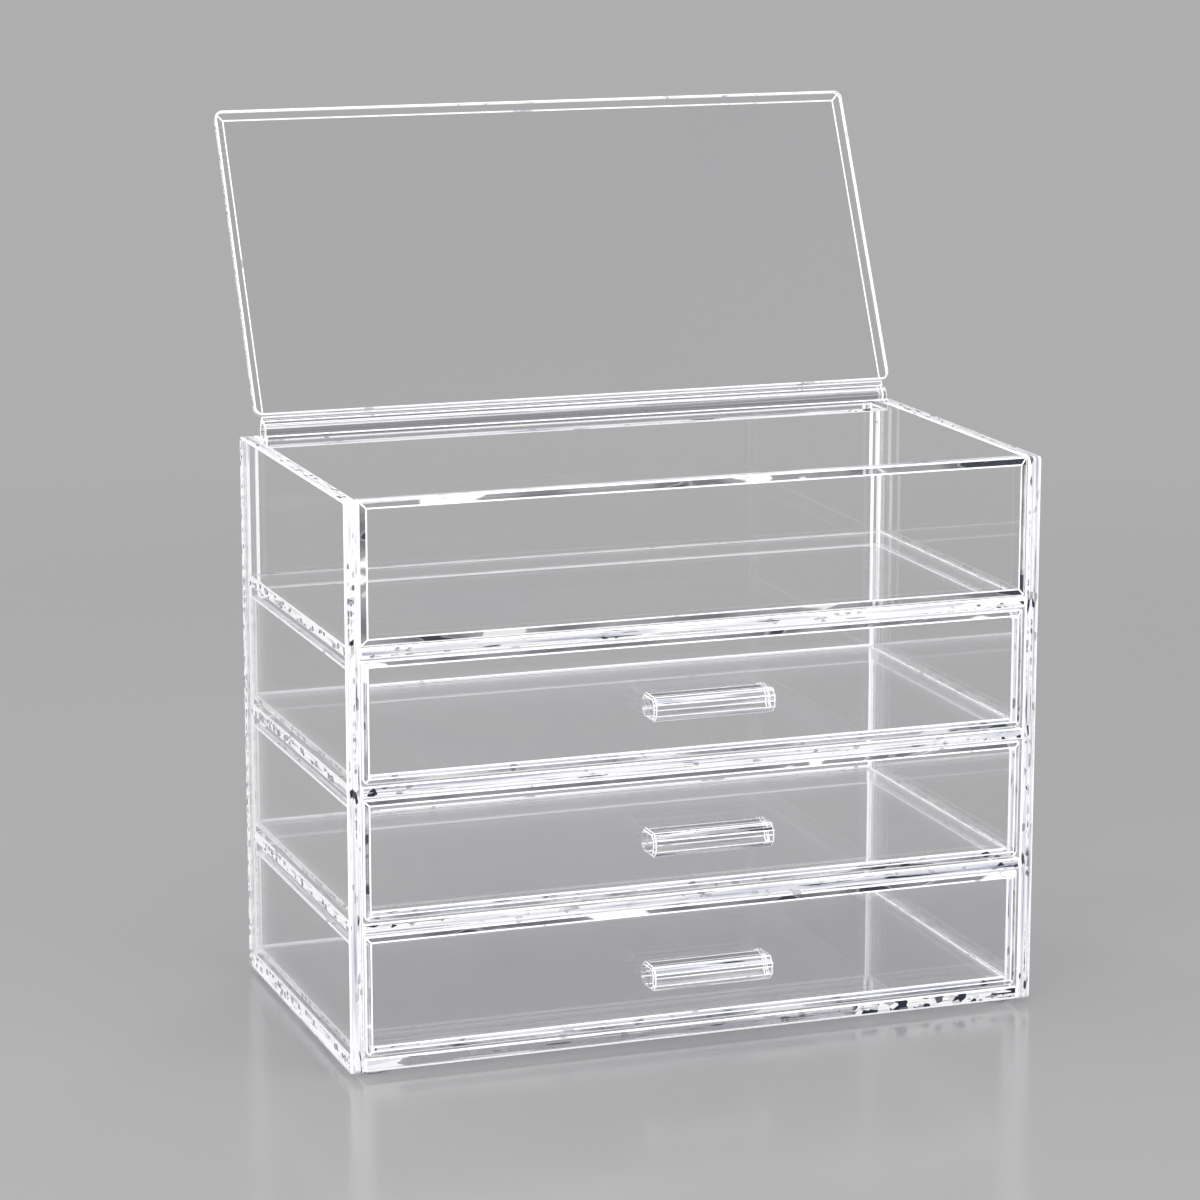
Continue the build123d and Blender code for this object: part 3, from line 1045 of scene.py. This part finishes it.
class DRAWER_BOX_OT_make_stage(bpy.types.Operator):
    """Makes the pale floor, the soft lamps, the surroundings and the camera"""

    bl_idname = "drawer_box.make_stage"
    bl_label = "Make stage"

    def execute(self, context):
        self.make_floor()
        self.make_surroundings(context.scene)
        self.make_lamps(context.scene)
        self.make_camera(context.scene)
        context.scene.view_settings.view_transform = "Standard"
        cycles = context.scene.cycles
        cycles.max_bounces = cycles.transmission_bounces = 28
        cycles.glossy_bounces = 20
        cycles.transparent_max_bounces = 64
        cycles.caustics_reflective = cycles.caustics_refractive = False
        return {"FINISHED"}

    def make_floor(self):
        """A satin disc that fades into the backdrop away from the box."""
        stage = settings().stage
        bm = bmesh.new()
        bmesh.ops.create_circle(bm, cap_ends=True, segments=128, radius=stage.floor_radius)
        mesh = bpy.data.meshes.new("floor")
        bm.to_mesh(mesh)
        bm.free()
        tree = ShaderTree(bpy.data.materials.new("floor_satin"))
        place = tree.place()
        grain = tree.noise(place, 0.9 * MM, 2.0)
        cloud = tree.noise(place, 0.5, 2.0)
        away = tree.node("ShaderNodeVectorMath", {"operation": "LENGTH"}, {0: place},
                         output="Value")
        base = tree.blend(cloud * 0.3, stage.floor_colour, stage.floor_cloud)
        surface = tree.node("ShaderNodeBsdfPrincipled", None,
                            {"Base Color": base, "Roughness": 0.14 + grain * 0.05,
                             "IOR": 1.6, "Normal": tree.bump(grain, 0.01 * MM),
                             "Alpha": tree.fade(away, stage.fade_start, stage.fade_end,
                                                1.0, 0.0)})
        tree.node("ShaderNodeOutputMaterial", None, {"Surface": surface})
        mesh.materials.append(bpy.data.materials["floor_satin"])
        floor = bpy.data.objects.new("floor", mesh)
        bpy.context.scene.collection.objects.link(floor)

    def make_surroundings(self, scene):
        """A pale backdrop for what is seen, and an even fill for what is lit."""
        stage = settings().stage
        scene.world = bpy.data.worlds.new("surroundings")
        tree = ShaderTree(scene.world)
        direction = tree.node("ShaderNodeTexCoord", output="Generated")
        height = tree.node("ShaderNodeSeparateXYZ", None, {"Vector": direction}, output="Z")
        ceiling_low, ceiling_high = 0.45, 0.75      # rise of the direction, 1 is straight up
        seen = tree.blend(tree.fade(height, ceiling_low, ceiling_high), stage.backdrop_colour,
                          stage.ceiling_colour)
        watching = (tree.node("ShaderNodeLightPath", output="Is Camera Ray")
                    | tree.node("ShaderNodeLightPath", output="Is Glossy Ray")
                    | tree.node("ShaderNodeLightPath", output="Is Transmission Ray"))
        fill = (stage.fill_level,) * 3 + (1.0,)
        shade = tree.blend(watching, fill, seen)
        light = tree.node("ShaderNodeBackground", None, {"Color": shade, "Strength": 1.0})
        tree.node("ShaderNodeOutputWorld", None, {"Surface": light})

    def make_lamps(self, scene):
        """Soft boxes: azimuth, elevation, distance, width, height, radiance and tint."""
        lamps = {
            "top_box": (0, 75, 1.4, 1.2, 0.8, 1.9, (1.0, 0.99, 0.97)),
            "front_left_box": (-50, 20, 1.9, 0.9, 1.1, 5.3, (1.0, 0.98, 0.96)),
            "front_right_box": (42, 20, 1.9, 0.9, 1.1, 4.6, (0.97, 0.98, 1.0)),
            "left_box": (-98, 42, 1.5, 0.4, 1.0, 3.0, (0.96, 0.97, 1.0)),
            "back_left_strip": (-150, 40, 1.6, 0.3, 1.1, 4.0, (0.96, 0.97, 1.0)),
            "back_right_strip": (145, 40, 1.6, 0.3, 1.1, 4.0, (1.0, 0.98, 0.95)),
        }
        centre = (cad_low + cad_high) / 2
        for name, (azimuth, elevation, away, width, height, radiance, tint) in lamps.items():
            light = bpy.data.lights.new(name, "AREA")
            light.shape = "RECTANGLE"
            light.size, light.size_y = width, height
            light.energy = radiance * math.pi * width * height
            light.color = tint
            lamp = bpy.data.objects.new(name, light)
            lamp.location = centre + away * direction_to(math.radians(azimuth),
                                                         math.radians(elevation))
            aim = centre - lamp.location
            lamp.rotation_euler = aim.to_track_quat("-Z", "Y").to_euler()
            lamp.visible_camera = False
            lamp.visible_glossy = lamp.visible_transmission = name == "top_box"
            scene.collection.objects.link(lamp)

    def make_camera(self, scene):
        """The camera at the photograph's angle, aimed at the plane of the box's front."""
        stage = settings().stage
        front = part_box("left_side_panel")[0].y
        target = Vector((stage.target_x, front, stage.target_z))
        data = bpy.data.cameras.new("camera")
        data.lens = stage.lens
        data.sensor_width = 36.0
        data.clip_start, data.clip_end = 0.05, 50.0
        camera = bpy.data.objects.new("camera", data)
        towards = direction_to(stage.azimuth, stage.elevation)
        camera.location = target + towards * stage.distance
        camera.rotation_euler = (-towards).to_track_quat("-Z", "Y").to_euler()
        scene.collection.objects.link(camera)
        scene.camera = camera


def direction_to(azimuth, elevation):
    """The direction from the box to a place round it. Azimuth 0 is in front of it."""
    return Vector((math.sin(azimuth) * math.cos(elevation),
                   -math.cos(azimuth) * math.cos(elevation), math.sin(elevation)))


class DRAWER_BOX_PT_panel(bpy.types.Panel):
    """Lists the settings and the steps that make the box"""

    bl_label = "Drawer Box"
    bl_space_type = "VIEW_3D"
    bl_region_type = "UI"
    bl_category = "Drawer Box"

    def draw(self, context):
        for operator in OPERATORS:
            self.layout.operator(operator.bl_idname)
        for group in GROUPS[:-1]:
            box = self.layout.box()
            name = group.__name__.removesuffix("Settings")
            box.label(text=name)
            values = getattr(context.scene.drawer_box, name.lower())
            for prop in group.__annotations__:
                box.prop(values, prop)


GROUPS = (EdgeSettings, PanelSettings, HandleSettings, HingeSettings, FootSettings,
          FinishSettings, StageSettings, BoxSettings)
OPERATORS = (DRAWER_BOX_OT_make_cabinet, DRAWER_BOX_OT_make_fronts,
             DRAWER_BOX_OT_make_drawers, DRAWER_BOX_OT_make_handles,
             DRAWER_BOX_OT_make_lid, DRAWER_BOX_OT_make_hinge, DRAWER_BOX_OT_make_feet,
             DRAWER_BOX_OT_make_stage)


def register():
    for cls in (*GROUPS, *OPERATORS, DRAWER_BOX_PT_panel):
        bpy.utils.register_class(cls)
    bpy.types.Scene.drawer_box = PointerProperty(type=BoxSettings)


def unregister():
    del bpy.types.Scene.drawer_box
    for cls in reversed((*GROUPS, *OPERATORS, DRAWER_BOX_PT_panel)):
        bpy.utils.unregister_class(cls)


def main():
    """Builds the whole scene."""
    register()
    bpy.ops.drawer_box.make_cabinet()
    bpy.ops.drawer_box.make_fronts()
    bpy.ops.drawer_box.make_drawers()
    bpy.ops.drawer_box.make_handles()
    bpy.ops.drawer_box.make_lid()
    bpy.ops.drawer_box.make_hinge()
    bpy.ops.drawer_box.make_feet()
    bpy.ops.drawer_box.make_stage()


if __name__ == "__main__":
    main()
